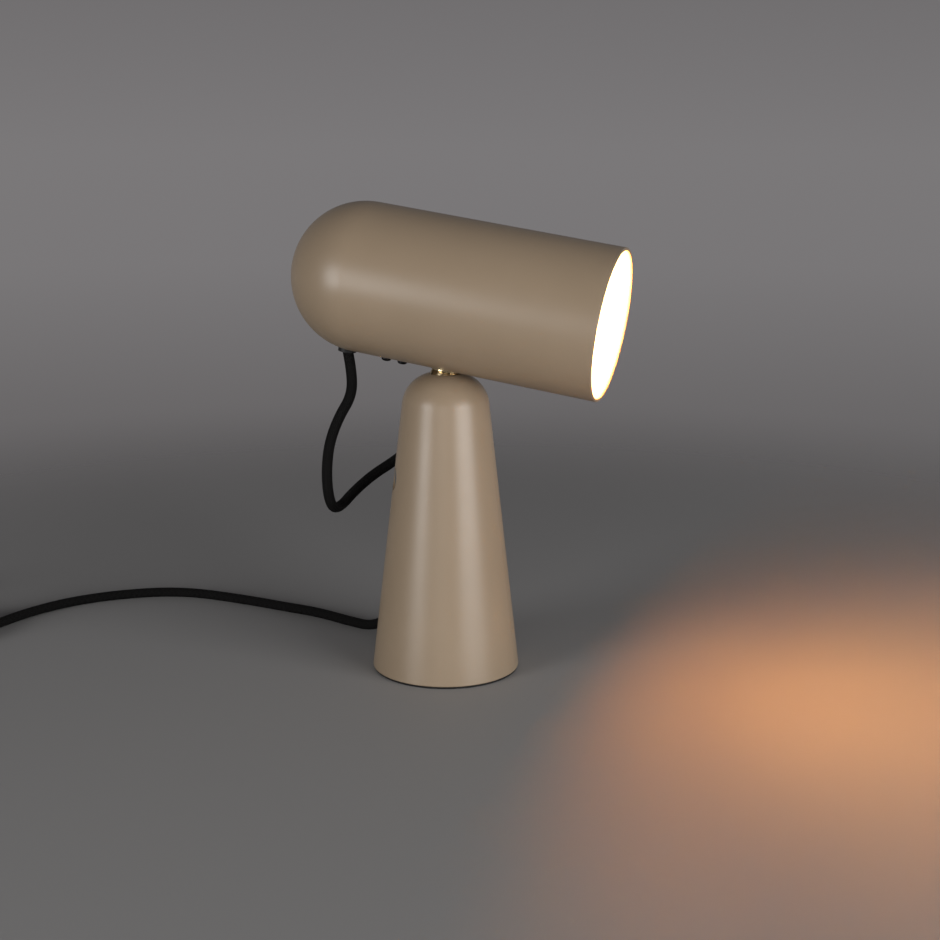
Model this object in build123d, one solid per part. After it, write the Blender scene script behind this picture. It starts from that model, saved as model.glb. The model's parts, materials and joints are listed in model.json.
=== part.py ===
from build123d import *
import math
import os

# Tabletop searchlight lamp: a cone-shaped weighted stem, a ball swivel, and a round shade with a domed back.
# Origin: centre of the foot, on the table.  +Z up.  +X: the way the shade points.  Millimetres and degrees.

# ------------------------------------------------------------------ stem
foot_radius = 52.5
rim_height = 1.6
shoulder_radius = 28.0
stem_top = 213.9
shoulder_fillet = 24.0
rim_fillet = 0.6
stem_wall = 2.5
opening_radius = 11.5
cord_azimuth = 140.0

# ------------------------------------------------------------------ foot
pad_thickness = 2.0
pad_clearance = 0.5
pad_edge_inset = 0.8
plate_thickness = 2.5
plate_clearance = 0.4
ballast_thickness = 17.5
ballast_clearance = 0.6
channel_width = 24.0
channel_start = 16.0
lug_count = 3
lug_radius = 4.5
lug_inset = 3.65
lug_height = 12.0
lug_clearance = 0.5
foot_screw_radius = 2.0
foot_screw_head_radius = 4.0
foot_screw_head_height = 2.2
foot_screw_length = 11.0
thread_gap = 0.03

# ------------------------------------------------------------------ ball swivel
ball_radius = 12.0
ball_gap = 0.3
ball_flat_height = 6.45
saddle_thickness = 0.8
saddle_radius = 11.6
saddle_foot_radius = 9.7
hinge_pin_radius = 1.5
hinge_pin_length = 19.0
pin_running_gap = 0.05
tongue_width = 10.0
tongue_thickness = 5.0
tongue_side_gap = 0.2
tongue_end_gap = 0.5
tilt_up = 20.0
tilt_down = 2.5
tilt_spare = 4.0
swivel_flange_radius = 13.0
swivel_flange_thickness = 3.0
tongue_drop = 21.0
stud_radius = 4.0
stud_length = 22.0
stud_running_gap = 0.05

# ------------------------------------------------------------------ bearing housing and centre tube
housing_plate = 4.0
housing_flange = 6.0
housing_radius = 15.0
housing_cavity_radius = 11.0
housing_length = 28.0
spring_count = 4
spring_inner_radius = 4.2
spring_outer_radius = 9.0
spring_thickness = 1.0
spring_cone = 0.9
spring_washer_thickness = 1.5
swivel_nut_flats = 13.0
swivel_nut_height = 6.5
tube_radius = 6.0
tube_bore_radius = 4.5
tube_flange_thickness = 3.0
tube_spigot_length = 3.0
press_gap = 0.02

# ------------------------------------------------------------------ shade
shade_radius = foot_radius
shade_wall = 1.2
shade_back = 120.0
shade_front = 110.0
shade_tilt = 8.66
lip_width = 2.4
lip_depth = 2.2
lip_fillet = 0.9

# ------------------------------------------------------------------ cord bushes
cord_radius = 3.8
bush_flange_radius = 6.4
bush_flange_thickness = 2.0
bush_barrel_radius = 5.0
bush_barrel_length = 9.0
bush_hole_gap = 0.1
bush_cord_gap = 0.1
bush_nut_flats = 13.0
bush_nut_depth = 6.5
shade_bush_distance = 74.8
lead_bush_height = 150.0
mains_bush_height = 15.0
mains_flange_radius = 7.5
mains_flange_thickness = 2.0
mains_nut_flats = 16.0
relief_length = 20.0
relief_root_radius = 6.2
relief_tip_radius = 4.7
bush_grip = 2.0

# ------------------------------------------------------------------ push-button switch
switch_azimuth = 204.0
switch_height = 139.0
switch_flat_radius = 8.25
switch_flat_distance = 34.9
switch_web = 3.0
switch_boss_radius = 12.0
switch_boss_depth = 10.0
button_radius = 6.25
button_running_gap = 0.1
button_proud = 0.6
button_length = 6.6
button_edge = 0.4
button_stem_radius = 2.5
button_stem_length = 3.4
button_travel = 2.0
switch_body_radius = 9.5
switch_body_front = 4.0
switch_rear_radius = 8.0
switch_rear_clearance = 0.5
switch_terminal_inset = 5.0
switch_bore_depth = 9.5
switch_nut_height = 2.4

# ------------------------------------------------------------------ lampholder, bulb and their bracket
bracket_screw_distances = (45.1, 33.1)
bracket_screw_radius = 2.0
bracket_head_radius = 3.5
bracket_head_height = 2.8
bracket_nut_flats = 7.0
bracket_nut_height = 3.2
bracket_sheet = 2.0
bracket_foot_width = 14.0
bracket_foot_start = 54.0
bracket_foot_end = 27.0
bracket_leg_width = 22.0
nipple_radius = 5.0
nipple_bore_radius = 3.4
nipple_length = 15.0
nipple_nut_flats = 14.0
nipple_nut_height = 3.0
holder_cap_radius = 20.0
holder_cap_neck_radius = 9.0
holder_cap_length = 18.0
holder_wall = 2.0
holder_skirt_length = 28.0
holder_skirt_radius = 19.2
insert_thickness = 5.0
bulb_cap_radius = 13.2
bulb_cap_length = 21.0
bulb_cap_groove = 0.6
bulb_cap_grooves = 4
bulb_contact_radius = 4.8
bulb_contact_height = 2.5
bulb_glass_radius = 30.0
bulb_glass_length = 82.0
bulb_neck_radius = 13.6
bulb_glass_wall = 1.0
saddle_plate_length = 24.0
saddle_plate_width = 22.0
saddle_plate_thickness = 3.2
ball_screw_spacing = 12.4
ball_screw_radius = 1.5
ball_screw_head_radius = 2.75
ball_screw_head_height = 3.0
ball_screw_depth = 4.3

# ------------------------------------------------------------------ wires inside
wire_radius = 1.6
lead_inner_radius = 2.8
terminal_size = (22.0, 14.0, 12.0)
terminal_azimuth = 80.0
terminal_inset = 19.0
wire_rise = 40.0
wire_drop = 25.0

# ------------------------------------------------------------------ mains coil, tie and plug
coil_centre = (-404.0, -66.0)
coil_mid_radius = 40.0
coil_columns = 3
coil_rows = 2
tie_azimuth = -60.0
tie_width = 12.0
tie_thickness = 0.8
table_gap = 0.1
plug_rear = (-452.0, -20.0)
plug_relief_length = 12.0
plug_relief_radius = 5.5
plug_body_length = 35.0
plug_body_width = 26.0
plug_body_height = 13.7
plug_rear_width = 13.0
plug_edge = 2.0
plug_pin_radius = 2.0
plug_pin_length = 19.0
plug_pin_spacing = 18.6

# Route of the lead from the shade's bush to the stem's.  It hangs in one loop, and is two nodes that meet
# half way between the last point of the first and the first point of the second.
lead_upper_route = [
    (-72.8, 0.3, 226.0),
    (-70.1, 0.9, 211.0),
    (-69.9, -0.2, 194.0),
    (-79.0, -3.5, 178.0),
    (-84.8, -7.5, 160.1),
]
lead_lower_route = [
    (-86.9, -8.5, 140.9),
    (-86.8, -7.2, 122.8),
    (-86.8, 1.2, 109.7),
    (-86.1, 16.0, 107.5),
    (-80.5, 27.4, 116.3),
    (-68.5, 34.3, 128.0),
    (-54.6, 40.0, 137.6),
    (-41.9, 36.1, 147.4),
    (-29.4, 24.7, 150.0),
]

# Route of the mains cord over the table, from the foot's bush to the coil.
mains_route = [
    (-54.6, 45.8, 15.0),
    (-64.0, 51.8, 11.8),
    (-77.5, 54.6, 3.9),
    (-96.5, 60.3, 3.9),
    (-130.0, 74.3, 3.9),
    (-159.0, 79.5, 3.9),
    (-188.0, 85.5, 3.9),
    (-216.0, 89.8, 3.9),
    (-245.0, 92.5, 3.9),
    (-270.0, 88.0, 3.9),
    (-293.0, 76.0, 3.9),
    (-316.0, 58.0, 3.9),
    (-336.0, 33.0, 3.9),
    (-348.5, 4.0, 3.9),
    (-355.0, -23.0, 3.9),
    (-357.2, -48.0, 4.7),
]
# From the coil's last turn to the plug.
plug_route = [
    (-452.3, -57.0, 12.3),
    (-453.2, -45.0, 11.2),
    (-452.6, -32.5, 7.8),
    (-452.0, -20.0, 6.95),
]

# ------------------------------------------------------------------ worked-out sizes
taper = (foot_radius - shoulder_radius) / (stem_top - rim_height)
taper_angle = math.degrees(math.atan(taper))
side_wall = stem_wall / math.cos(math.radians(taper_angle))
cut = 5.0
plate_low = pad_thickness
ballast_low = plate_low + plate_thickness
ballast_top = ballast_low + ballast_thickness
lug_first_azimuth = cord_azimuth + 180 / lug_count
spring_pitch = spring_thickness + spring_cone
shade_inner_radius = shade_radius - shade_wall
dome_centre = shade_radius - shade_back
shade_axis_height = ball_flat_height + saddle_thickness + shade_radius
shade_floor = shade_axis_height - shade_inner_radius
saddle_plate_top = shade_floor + saddle_plate_thickness
holder_back = -bracket_foot_start + bracket_sheet
holder_cap_front = holder_back + holder_cap_length
insert_front = holder_cap_front + insert_thickness
bulb_tip_back = insert_front
bulb_cap_back = bulb_tip_back + bulb_contact_height
bulb_cap_front = bulb_cap_back + bulb_cap_length


# ------------------------------------------------------------------ helpers
def cylinder(radius, low, high):
    """A cylinder on the Z axis, from height low to height high."""
    return Pos(0, 0, low) * Cylinder(radius, high - low, align=(Align.CENTER, Align.CENTER, Align.MIN))


def ring(outer, inner, low, high):
    """A round tube on the Z axis, from height low to height high."""
    return cylinder(outer, low, high) - cylinder(inner, low - cut, high + cut)


def hex_nut(flats, bore, low, high):
    """A six-sided nut on the Z axis."""
    blank = extrude(RegularPolygon(flats / math.sqrt(3), 6), high - low)
    return Pos(0, 0, low) * blank - cylinder(bore, low - cut, high + cut)


def around(azimuth, height=0.0, distance=0.0):
    """Frame at a distance from the stem's axis, its X pointing outwards at that azimuth."""
    return Pos(0, 0, height) * Rot(0, 0, azimuth) * Pos(distance, 0, 0)


def through_stem(azimuth, height, distance):
    """Frame on a level line through the stem's axis, its Z pointing outwards at that azimuth."""
    return around(azimuth, height, distance) * Rot(0, 90, 0)


def stem_radius(height):
    """Outside radius of the stem's straight side."""
    return foot_radius - (height - rim_height) * taper


def stem_form(inset, floor):
    """The stem's outside form, solid, with its side, shoulder and top set in."""
    side_inset = inset / math.cos(math.radians(taper_angle))
    top = stem_top - inset
    profile = Polygon(
        (0, floor),
        (stem_radius(floor) - side_inset, floor),
        (stem_radius(top) - side_inset, top),
        (0, top),
        align=None,
    )
    cone = revolve(Plane.XZ * profile, Axis.Z)
    return fillet(cone.edges().group_by(Axis.Z)[-1], shoulder_fillet - inset)


def inner_radius(height):
    """Inside radius of the stem's straight side."""
    return stem_radius(height) - side_wall


def lug_places():
    """Frames of the foot's screw lugs, evenly spaced and clear of the cord."""
    lug_distance = inner_radius(ballast_low) - lug_inset
    return [around(lug_first_azimuth + turn * 360 / lug_count, 0, lug_distance) for turn in range(lug_count)]


def arc_radii(points):
    """Radius at each corner of a cord's route, as large as its two runs allow."""
    radii = []
    for before, corner, after in zip(points, points[1:], points[2:]):
        first = Vector(*corner) - Vector(*before)
        second = Vector(*after) - Vector(*corner)
        half_turn = math.radians(first.get_angle(second)) / 2
        radii.append(0.45 * min(first.length, second.length) / math.tan(half_turn))
    return radii


def cord_tube(points, radius):
    """A round cord along straight runs joined by tangent arcs."""
    path = FilletPolyline(*points, radius=arc_radii(points))
    section = Plane(origin=path @ 0, z_dir=path % 0) * Circle(radius)
    return sweep(section, path=path)


def wire_tube(points, radius, bend):
    """A wire inside the lamp, with one bend radius."""
    path = FilletPolyline(*points, radius=bend)
    section = Plane(origin=path @ 0, z_dir=path % 0) * Circle(radius)
    return sweep(section, path=path)


# ------------------------------------------------------------------ stem
switch_rear = housing_radius + switch_rear_clearance
switch_body_length = switch_flat_distance - switch_web - switch_rear
switch_frame = through_stem(switch_azimuth, switch_height, switch_flat_distance)
lead_bush_frame = through_stem(cord_azimuth, lead_bush_height, stem_radius(lead_bush_height))
mains_bush_frame = through_stem(cord_azimuth, mains_bush_height, stem_radius(mains_bush_height))


def lip_height():
    """Height of the shoulder's surface at the round top opening."""
    half_corner = math.radians(90 - taper_angle) / 2
    flat_radius = stem_radius(stem_top) - shoulder_fillet * math.tan(half_corner)
    reach = opening_radius - flat_radius
    return stem_top - shoulder_fillet + math.sqrt(shoulder_fillet**2 - reach**2)


pivot_height = lip_height() - math.sqrt((ball_radius + ball_gap) ** 2 - opening_radius**2)
swivel_flange_height = pivot_height - tongue_drop
housing_low = swivel_flange_height - housing_length
housing_ceiling = swivel_flange_height - housing_plate
springs_low = housing_ceiling - spring_count * spring_pitch
head_frame = Pos(0, 0, pivot_height) * Rot(0, shade_tilt, 0)
bush_hole_radius = bush_barrel_radius + bush_hole_gap


def make_stem_shell():
    """Cast cone, open at the foot, with the switch's boss and the foot's screw lugs inside."""
    outside = stem_form(0, rim_height)
    outside = fillet(outside.edges().group_by(Axis.Z)[0], rim_fillet)
    shell = outside - stem_form(stem_wall, rim_height - cut)
    boss = switch_frame * cylinder(switch_boss_radius, -switch_boss_depth, cut)
    shell += boss & outside
    for place in lug_places():
        shell += (place * cylinder(lug_radius, ballast_low, ballast_low + lug_height)) & outside
    for place in lug_places():
        hole_top = ballast_low + foot_screw_length
        shell -= place * cylinder(foot_screw_radius + thread_gap, ballast_low - cut, hole_top)
    shell -= switch_frame * cylinder(switch_flat_radius, 0, cut)
    shell -= switch_frame * cylinder(button_radius + button_running_gap, -switch_web - cut, cut)
    shell -= switch_frame * cylinder(switch_body_radius + press_gap, -switch_boss_depth - cut, -switch_web)
    shell -= lead_bush_frame * cylinder(bush_hole_radius, -3 * cut, cut)
    shell -= mains_bush_frame * cylinder(bush_hole_radius, -3 * cut, cut)
    shell -= Pos(0, 0, pivot_height) * Sphere(ball_radius + ball_gap)
    return shell


# ------------------------------------------------------------------ foot
def make_foot_pad():
    """Rubber pad that fits into the foot, with an edge that the rim stands on."""
    pad = cylinder(inner_radius(pad_thickness) - pad_clearance, 0, pad_thickness)
    pad += cylinder(foot_radius - pad_edge_inset, 0, rim_height)
    return fillet(pad.edges().group_by(Axis.Z)[0], pad_thickness / 4)


def make_base_plate():
    plate = cylinder(inner_radius(ballast_low) - plate_clearance, plate_low, ballast_low)
    for place in lug_places():
        plate -= place * make_foot_screw(thread_gap, cut)
    return plate


def make_foot_screw(spare, extra_length):
    """Countersunk screw from under the plate.  spare widens it, for its own hole."""
    head = Pos(0, 0, plate_low) * Cone(
        foot_screw_head_radius + spare,
        foot_screw_radius + spare,
        foot_screw_head_height,
        align=(Align.CENTER, Align.CENTER, Align.MIN),
    )
    return head + cylinder(foot_screw_radius + spare, plate_low, ballast_low + foot_screw_length - 1 + extra_length)


def make_base_screws():
    return [place * make_foot_screw(0, 0) for place in lug_places()]


def make_ballast_weight():
    """Iron disc that fills the foot, with a channel for the mains cord and room for the lugs."""
    weight = stem_form(stem_wall + ballast_clearance, ballast_low)
    weight &= cylinder(foot_radius, ballast_low, ballast_top)
    channel_length = foot_radius - channel_start
    channel = Box(channel_length, channel_width, 2 * ballast_thickness, align=(Align.MIN, Align.CENTER, Align.CENTER))
    weight -= around(cord_azimuth, ballast_low, channel_start) * channel
    for place in lug_places():
        room = Box(2 * lug_radius, 2 * (lug_radius + lug_clearance), 2 * ballast_thickness + cut,
                   align=(Align.MIN, Align.CENTER, Align.CENTER))
        weight -= place * cylinder(lug_radius + lug_clearance, ballast_low - cut, ballast_top + cut)
        weight -= place * Pos(0, 0, ballast_low) * room
    return weight


# ------------------------------------------------------------------ bearing housing, centre tube and friction parts
def make_bearing_housing():
    """Turned bearing wedged under the shoulder, with a round cavity for the friction springs."""
    flange = stem_form(stem_wall + press_gap, rim_height)
    flange &= cylinder(foot_radius, swivel_flange_height - housing_flange, swivel_flange_height)
    body = flange + cylinder(housing_radius, housing_low, swivel_flange_height)
    body -= cylinder(housing_cavity_radius, housing_low - cut, housing_ceiling)
    return body - cylinder(stud_radius + stud_running_gap, housing_low, swivel_flange_height + cut)


def make_centre_tube():
    """Tube from the ballast to the bearing housing.  The foot's screws load it."""
    flange_low = housing_low - tube_flange_thickness
    tube = cylinder(tube_radius, ballast_top, housing_low)
    tube += cylinder(housing_radius, flange_low, housing_low)
    tube += cylinder(housing_cavity_radius - press_gap, housing_low, housing_low + tube_spigot_length)
    return tube - cylinder(tube_bore_radius, ballast_top - cut, housing_low + tube_spigot_length + cut)


def make_swivel_tongue():
    """Flange and stud that turn in the bearing housing, with the tongue that the ball tilts on."""
    flange_top = swivel_flange_height + swivel_flange_thickness
    tongue = cylinder(swivel_flange_radius, swivel_flange_height, flange_top)
    blade = Box(tongue_width, tongue_thickness, pivot_height - flange_top, align=(Align.CENTER, Align.CENTER, Align.MIN))
    tongue += Pos(0, 0, flange_top) * blade
    tongue += Pos(0, 0, pivot_height) * Rot(90, 0, 0) * Cylinder(tongue_width / 2, tongue_thickness)
    tongue += cylinder(stud_radius, swivel_flange_height - stud_length, swivel_flange_height)
    pin_hole = Cylinder(hinge_pin_radius + pin_running_gap, 2 * tongue_thickness)
    return tongue - Pos(0, 0, pivot_height) * Rot(90, 0, 0) * pin_hole


def make_disc_spring(low, cone_up):
    """One cone-shaped spring washer."""
    inner_rise = spring_cone if cone_up else 0
    outer_rise = spring_cone - inner_rise
    profile = Polygon(
        (spring_inner_radius, low + inner_rise),
        (spring_outer_radius, low + outer_rise),
        (spring_outer_radius, low + outer_rise + spring_thickness),
        (spring_inner_radius, low + inner_rise + spring_thickness),
        align=None,
    )
    return revolve(Plane.XZ * profile, Axis.Z)


def make_disc_springs():
    return [make_disc_spring(springs_low + i * spring_pitch, i % 2 == 0) for i in range(spring_count)]


def make_spring_washer():
    return ring(spring_outer_radius, spring_inner_radius, springs_low - spring_washer_thickness, springs_low)


def make_swivel_nut():
    nut_top = springs_low - spring_washer_thickness
    return hex_nut(swivel_nut_flats, stud_radius + press_gap, nut_top - swivel_nut_height, nut_top)


# ------------------------------------------------------------------ bushes
def make_bush(frame, outside, flange_radius, flange_thickness, barrel_length):
    """Cord bush: its flange follows the surface it lies on, its barrel goes through the wall."""
    flange = frame * cylinder(flange_radius, -flange_radius, flange_thickness) - outside
    barrel = frame * cylinder(bush_barrel_radius, -barrel_length, flange_thickness)
    bore = frame * cylinder(cord_radius + bush_cord_gap, -barrel_length - cut, flange_thickness + cut)
    return flange + barrel - bore


def make_bush_nut(frame, flats, inside):
    """Moulded nut on a bush's barrel; its face follows the inside of the wall."""
    return (frame * hex_nut(flats, bush_barrel_radius + press_gap, -bush_nut_depth, 0)) & inside


lead_flange_face = bush_flange_thickness + bush_flange_radius * taper
mains_flange_face = mains_flange_thickness + mains_flange_radius * taper
stem_inside = stem_form(stem_wall + press_gap, rim_height)


def make_lead_bush():
    outside = stem_form(0, rim_height)
    return make_bush(lead_bush_frame, outside, bush_flange_radius, lead_flange_face, bush_barrel_length)


def make_mains_bush():
    """Bush with a tapered relief that keeps the cord from kinking."""
    outside = stem_form(0, rim_height)
    bush = make_bush(mains_bush_frame, outside, mains_flange_radius, mains_flange_face, bush_barrel_length)
    relief = Pos(0, 0, mains_flange_face) * Cone(
        relief_root_radius, relief_tip_radius, relief_length, align=(Align.CENTER, Align.CENTER, Align.MIN)
    )
    relief -= cylinder(cord_radius + bush_cord_gap, 0, mains_flange_face + relief_length + cut)
    return bush + mains_bush_frame * relief


# ------------------------------------------------------------------ switch
def make_switch_button():
    """Round push-button, a little proud of its flat, with a stem that works the switch."""
    cap = cylinder(button_radius, button_proud - button_length, button_proud)
    cap = fillet(cap.edges().group_by(Axis.Z)[-1], button_edge)
    stem_low = button_proud - button_length - button_stem_length
    return switch_frame * (cap + cylinder(button_stem_radius, stem_low, button_proud - button_length))


def make_switch_housing():
    """Round switch body in the stem's boss."""
    front = -switch_web
    body = cylinder(switch_body_radius, front - switch_body_front, front)
    body += cylinder(switch_rear_radius, front - switch_body_length, front)
    return switch_frame * (body - cylinder(button_radius + button_running_gap, front - switch_bore_depth, cut))


def make_switch_nut():
    """Ring nut that holds the switch in its boss."""
    top = -switch_web - switch_body_front
    return switch_frame * ring(switch_body_radius, switch_rear_radius + press_gap, top - switch_nut_height, top)


# ------------------------------------------------------------------ swivel ball and what joins it to the shade
def ball_screw_places():
    return [Pos(0, side * ball_screw_spacing / 2, 0) for side in (-1, 1)]


def make_swivel_ball():
    """Polished ball, cut flat on top, with a slot below that leaves the tongue room to tilt."""
    ball = Sphere(ball_radius) & cylinder(ball_radius + cut, -2 * ball_radius, ball_flat_height)
    slot_width = tongue_thickness + 2 * tongue_side_gap
    round_end = tongue_width / 2 + tongue_end_gap
    ball -= Rot(90, 0, 0) * Cylinder(round_end, slot_width)
    drop = ball_radius + cut
    spread = tilt_spare + (tilt_up + tilt_down) / 2
    low_half_width = round_end + drop * math.tan(math.radians(spread))
    fan = Polygon((-round_end, 0), (round_end, 0), (low_half_width, -drop), (-low_half_width, -drop), align=None)
    ball -= extrude(Plane.XZ * fan, slot_width / 2, both=True)
    ball -= Rot(90, 0, 0) * Cylinder(hinge_pin_radius + press_gap, 3 * ball_radius)
    for place in ball_screw_places():
        ball -= place * cylinder(ball_screw_radius + thread_gap, ball_flat_height - ball_screw_depth, ball_flat_height + cut)
    return ball


def make_hinge_pin():
    return Rot(90, 0, 0) * Cylinder(hinge_pin_radius, hinge_pin_length)


def make_saddle_washer():
    """Flared washer with a flat foot for the ball and a hollow top for the round shade."""
    washer = cylinder(saddle_radius, ball_flat_height + saddle_thickness, shade_floor)
    washer += Pos(0, 0, ball_flat_height) * Cone(
        saddle_foot_radius, saddle_radius, saddle_thickness, align=(Align.CENTER, Align.CENTER, Align.MIN)
    )
    washer -= shade_form(0, shade_front)
    for place in ball_screw_places():
        washer -= place * cylinder(ball_screw_radius + thread_gap, ball_flat_height - cut, shade_floor + cut)
    return washer


def make_saddle_plate():
    """Plate inside the shade that spreads the ball screws' load."""
    blank = Box(saddle_plate_length, saddle_plate_width, 2 * saddle_plate_thickness,
                align=(Align.CENTER, Align.CENTER, Align.MAX))
    plate = (Pos(0, 0, saddle_plate_top) * blank) & shade_form(shade_wall + press_gap, shade_front)
    for place in ball_screw_places():
        plate -= place * cylinder(ball_screw_radius + thread_gap, ball_flat_height, saddle_plate_top + cut)
    return plate


def make_ball_screws():
    screws = []
    for place in ball_screw_places():
        shank_low = ball_flat_height - ball_screw_depth + press_gap
        screw = cylinder(ball_screw_radius, shank_low, saddle_plate_top)
        screw += cylinder(ball_screw_head_radius, saddle_plate_top, saddle_plate_top + ball_screw_head_height)
        screws.append(place * screw)
    return screws


# ------------------------------------------------------------------ shade, in the frame of the swivel ball
def shade_form(inset, front):
    """The shade's form, solid: a half ball and a round body on one axis, set in."""
    radius = shade_radius - inset
    dome = CenterArc((dome_centre, 0), radius, 90, 90)
    floor = Line(dome @ 1, (front, 0))
    mouth = Line(floor @ 1, (front, radius))
    side = Line(mouth @ 1, dome @ 0)
    profile = make_face(dome + floor + mouth + side)
    return Pos(0, 0, shade_axis_height) * revolve(profile, Axis.X)


def under_shade(distance):
    """Frame on the shade's lowest line, behind the ball, its Z pointing out of the shade."""
    return Pos(-distance, 0, shade_axis_height) * Rot(180, 0, 0) * Pos(0, 0, shade_radius)


def along_shade(start):
    """Frame on the shade's axis, its Z pointing to the mouth."""
    return Pos(start, 0, shade_axis_height) * Rot(0, 90, 0)


def make_shade_shell():
    """Thin spun shade: one wall all over, open at the mouth, its lip rolled inwards and rounded."""
    shell = shade_form(0, shade_front) - shade_form(shade_wall, shade_front + cut)
    shell += along_shade(shade_front - lip_depth) * ring(shade_radius, shade_radius - lip_width, 0, lip_depth)
    shell = fillet(shell.edges().group_by(Axis.X)[-1], lip_fillet)
    shell -= under_shade(shade_bush_distance) * cylinder(bush_hole_radius, -2 * cut, cut)
    for distance in bracket_screw_distances:
        shell -= under_shade(distance) * cylinder(bracket_screw_radius + press_gap, -cut, cut)
    for place in ball_screw_places():
        shell -= place * cylinder(ball_screw_radius + thread_gap, ball_flat_height, saddle_plate_top)
    return shell


shade_bush_frame = under_shade(shade_bush_distance)
shade_inside = shade_form(shade_wall + press_gap, shade_front)


def make_shade_bush():
    outside = shade_form(0, shade_front)
    return make_bush(shade_bush_frame, outside, bush_flange_radius, bush_flange_thickness, bush_barrel_length)


# ------------------------------------------------------------------ bracket
def make_holder_bracket():
    """Bent sheet: a foot along the shade and a leg with a round end across its axis."""
    foot_length = bracket_foot_start - bracket_foot_end
    foot_top = shade_floor + bracket_sheet
    foot = Box(foot_length, bracket_foot_width, 2 * bracket_sheet, align=(Align.MIN, Align.CENTER, Align.MAX))
    bracket = (Pos(-bracket_foot_start, 0, foot_top) * foot) & shade_form(shade_wall + press_gap, shade_front)
    leg_height = shade_axis_height - foot_top
    leg = Box(bracket_sheet, bracket_foot_width, leg_height, align=(Align.MIN, Align.CENTER, Align.MIN))
    bracket += Pos(-bracket_foot_start, 0, foot_top) * leg
    bracket += along_shade(-bracket_foot_start) * cylinder(bracket_leg_width / 2, 0, bracket_sheet)
    bracket -= along_shade(-bracket_foot_start) * cylinder(nipple_radius + press_gap, -cut, cut)
    for distance in bracket_screw_distances:
        bracket -= under_shade(distance) * cylinder(bracket_screw_radius + press_gap, -2 * cut, 0)
    return bracket


def make_bracket_screws():
    screws = []
    for distance in bracket_screw_distances:
        head = cylinder(bracket_head_radius, 0, bracket_head_height)
        head = fillet(head.edges().group_by(Axis.Z)[-1], 0.6 * bracket_head_height)
        shank_depth = shade_wall + bracket_sheet + bracket_nut_height + 1
        screws.append(under_shade(distance) * (head + cylinder(bracket_screw_radius, -shank_depth, 0)))
    return screws


def make_bracket_nuts():
    face = shade_wall + bracket_sheet
    nut = hex_nut(bracket_nut_flats, bracket_screw_radius + press_gap, -face - bracket_nut_height, -face)
    return [under_shade(distance) * nut for distance in bracket_screw_distances]


# ------------------------------------------------------------------ lampholder and bulb, on the shade's axis
def turned(points):
    """A solid turned on the shade's axis from (place along the axis, radius) pairs."""
    return Pos(0, 0, shade_axis_height) * revolve(make_face(Polyline(*points, close=True)), Axis.X)


def make_holder_nipple():
    nipple = ring(nipple_radius, nipple_bore_radius, 0, nipple_length)
    return along_shade(holder_back - nipple_length + holder_wall + 3) * nipple


def make_nipple_nut():
    nut = hex_nut(nipple_nut_flats, nipple_radius + press_gap, -nipple_nut_height, 0)
    return along_shade(-bracket_foot_start) * nut


def make_holder_cap():
    """Moulded rear cap of the lampholder."""
    shoulder = holder_back + holder_cap_length / 2
    outer = [
        (holder_back, nipple_radius + press_gap),
        (holder_back, holder_cap_neck_radius),
        (shoulder, holder_cap_radius - holder_wall),
        (holder_cap_front, holder_cap_radius),
    ]
    inner = [
        (holder_cap_front, holder_cap_radius - holder_wall),
        (shoulder, holder_cap_radius - 2 * holder_wall),
        (holder_back + holder_wall, holder_cap_neck_radius - holder_wall / 2),
        (holder_back + holder_wall, nipple_radius + press_gap),
    ]
    return turned(outer + inner)


def make_holder_skirt():
    """Screwed skirt of the lampholder, with a rounded rim."""
    skirt = ring(holder_skirt_radius, holder_skirt_radius - holder_wall, 0, holder_skirt_length)
    skirt = fillet(skirt.edges().group_by(Axis.Z)[-1], holder_wall / 3)
    return along_shade(holder_cap_front) * skirt


def make_holder_insert():
    """Ceramic floor of the lampholder."""
    return along_shade(holder_cap_front) * cylinder(holder_skirt_radius - holder_wall - press_gap, 0, insert_thickness)


def make_bulb_cap():
    """Screw shell of the bulb, with the rounds of its thread as grooves."""
    cap = cylinder(bulb_cap_radius, 0, bulb_cap_length)
    pitch = bulb_cap_length / (bulb_cap_grooves + 2)
    for groove in range(bulb_cap_grooves):
        middle = (groove + 1) * pitch
        cut_ring = Pos(0, 0, middle) * Torus(bulb_cap_radius + bulb_cap_groove, 2 * bulb_cap_groove)
        cap -= cut_ring
    return along_shade(bulb_cap_back) * cap


def make_bulb_contact():
    contact = Cone(bulb_contact_radius, 2 * bulb_contact_radius, bulb_contact_height,
                   align=(Align.CENTER, Align.CENTER, Align.MIN))
    return along_shade(bulb_tip_back) * contact


def bulb_form(inset):
    """The bulb's form: a neck that swells into a ball."""
    middle = bulb_cap_front + bulb_glass_length - bulb_glass_radius
    radius = bulb_glass_radius - inset
    neck = (bulb_cap_front, bulb_neck_radius - inset)
    ball = CenterArc((middle, 0), radius, 0, 100)
    flank = Spline(ball @ 1, neck, tangents=(ball % 1, (-1, 0)))
    back = Line(flank @ 1, (bulb_cap_front, 0))
    middle_line = Line(back @ 1, ball @ 0)
    return Pos(0, 0, shade_axis_height) * revolve(make_face(ball + flank + back + middle_line), Axis.X)


def make_bulb_glass():
    """Opal glass, one wall thick, open at the neck where the cap closes it."""
    bore = along_shade(bulb_cap_front) * cylinder(bulb_neck_radius - bulb_glass_wall, -cut, bulb_glass_wall)
    return bulb_form(0) - bulb_form(bulb_glass_wall) - bore


def make_head_wires():
    """The lead's inner cable, from the shade's bush to the lampholder."""
    start = (-shade_bush_distance, 0, shade_floor + bush_barrel_length - shade_wall + press_gap)
    corner = (-shade_bush_distance, 0, shade_axis_height)
    end = (holder_back - nipple_length + holder_wall + 3, 0, shade_axis_height)
    return wire_tube([start, corner, end], lead_inner_radius, 3 * lead_inner_radius)


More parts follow.
